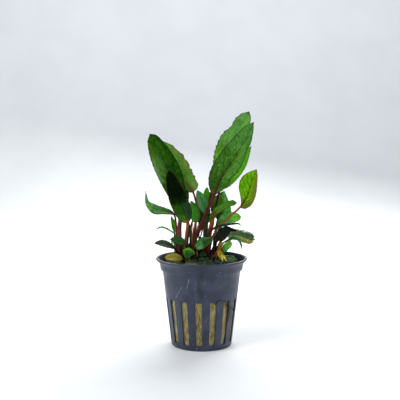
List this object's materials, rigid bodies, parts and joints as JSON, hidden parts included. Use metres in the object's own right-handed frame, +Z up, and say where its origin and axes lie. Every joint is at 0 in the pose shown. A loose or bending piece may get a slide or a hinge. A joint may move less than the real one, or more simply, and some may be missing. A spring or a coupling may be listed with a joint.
{
  "type": "potted aquarium plant",
  "caption": "Broad-leaved aquarium plant in a tapered net pot with slotted walls, on a rock wool plug with a moss cover.",
  "frame": {"origin": "the middle of the pot's underside, which stands on the ground", "axes": "+Z up along the pot, -Y towards the side that faces the viewer, +X to the viewer's right"},
  "size_m": [0.0635, 0.052, 0.1331],
  "materials": {
    "pot_plastic": "satin",
    "rock_wool": "matte",
    "moss": "matte",
    "leaf_dark": "satin",
    "leaf_mid": "satin",
    "leaf_bright": "satin",
    "leaf_old": "matte",
    "leaf_dead": "matte"
  },
  "bodies": {
    "root": {"pot": "pot_plastic", "rock_wool": "rock_wool", "moss_cover": "moss", "leaf_tall_left": "leaf_dark", "leaf_tall_right": "leaf_dark", "leaf_tall_back": "leaf_mid", "leaf_wavy_left": "leaf_mid", "leaf_front_left": "leaf_dark", "leaf_side_left": "leaf_bright", "leaf_side_right": "leaf_bright", "leaf_strip_right": "leaf_bright", "leaf_inner_left": "leaf_mid", "leaf_inner_blue": "leaf_mid", "leaf_inner_bright": "leaf_bright", "leaf_inner_olive": "leaf_old", "leaf_inner_tall": "leaf_bright", "leaf_folded_right": "leaf_mid", "leaf_lobe_right": "leaf_bright", "leaf_edge_right": "leaf_dark", "leaf_dark_round": "leaf_dark", "leaf_dark_point": "leaf_dark", "leaf_old_algae": "leaf_old", "leaf_drooping": "leaf_mid", "leaf_young_right": "leaf_bright", "leaf_arching_left": "leaf_bright", "leaf_sliver_left": "leaf_bright", "leaf_low_grey": "leaf_old", "leaf_low_dark": "leaf_dark", "leaf_low_bright": "leaf_bright", "leaf_low_centre": "leaf_mid", "leaf_low_small": "leaf_dark", "leaf_withered_right": "leaf_dead", "leaf_withered_stalk": "leaf_dead", "leaf_yellow_left": "leaf_dead", "leaf_rear_1": "leaf_mid", "leaf_rear_2": "leaf_dark", "leaf_rear_3": "leaf_dark", "leaf_rear_4": "leaf_mid", "leaf_rear_5": "leaf_mid", "leaf_rear_6": "leaf_mid"}
  },
  "joints": []
}
